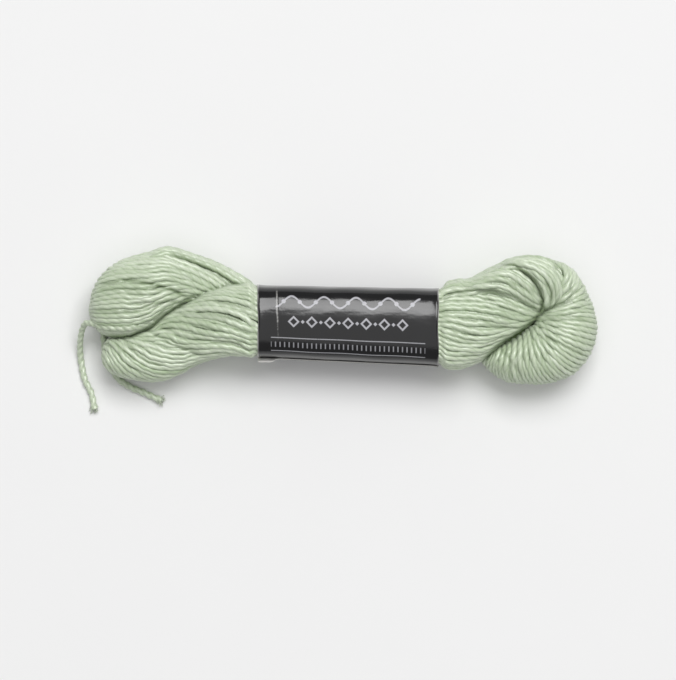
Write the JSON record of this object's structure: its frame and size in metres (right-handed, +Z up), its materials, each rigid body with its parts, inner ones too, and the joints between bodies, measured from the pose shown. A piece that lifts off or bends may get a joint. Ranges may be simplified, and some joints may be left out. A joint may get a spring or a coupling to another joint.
{
  "type": "skein of embroidery floss",
  "caption": "Small twisted skein of lustrous thread lying on its side, with a plain paper band round its middle, a tucked knob at one end and loose thread ends at the other.",
  "frame": {"origin": "under the middle of the hank, on the surface that it rests on", "axes": "+X along the hank towards its tucked knob, +Z up from the surface"},
  "size_m": [0.1048, 0.0325, 0.0159],
  "materials": {
    "floss": "lustrous silk-like two-ply thread, pale green",
    "band_paper": "glossy black coated paper with thin silver-grey printed ornament"
  },
  "bodies": {
    "root": {"hank": "floss", "loose_end_1": "floss", "loose_end_2": "floss", "label_band": "band_paper"}
  },
  "joints": []
}
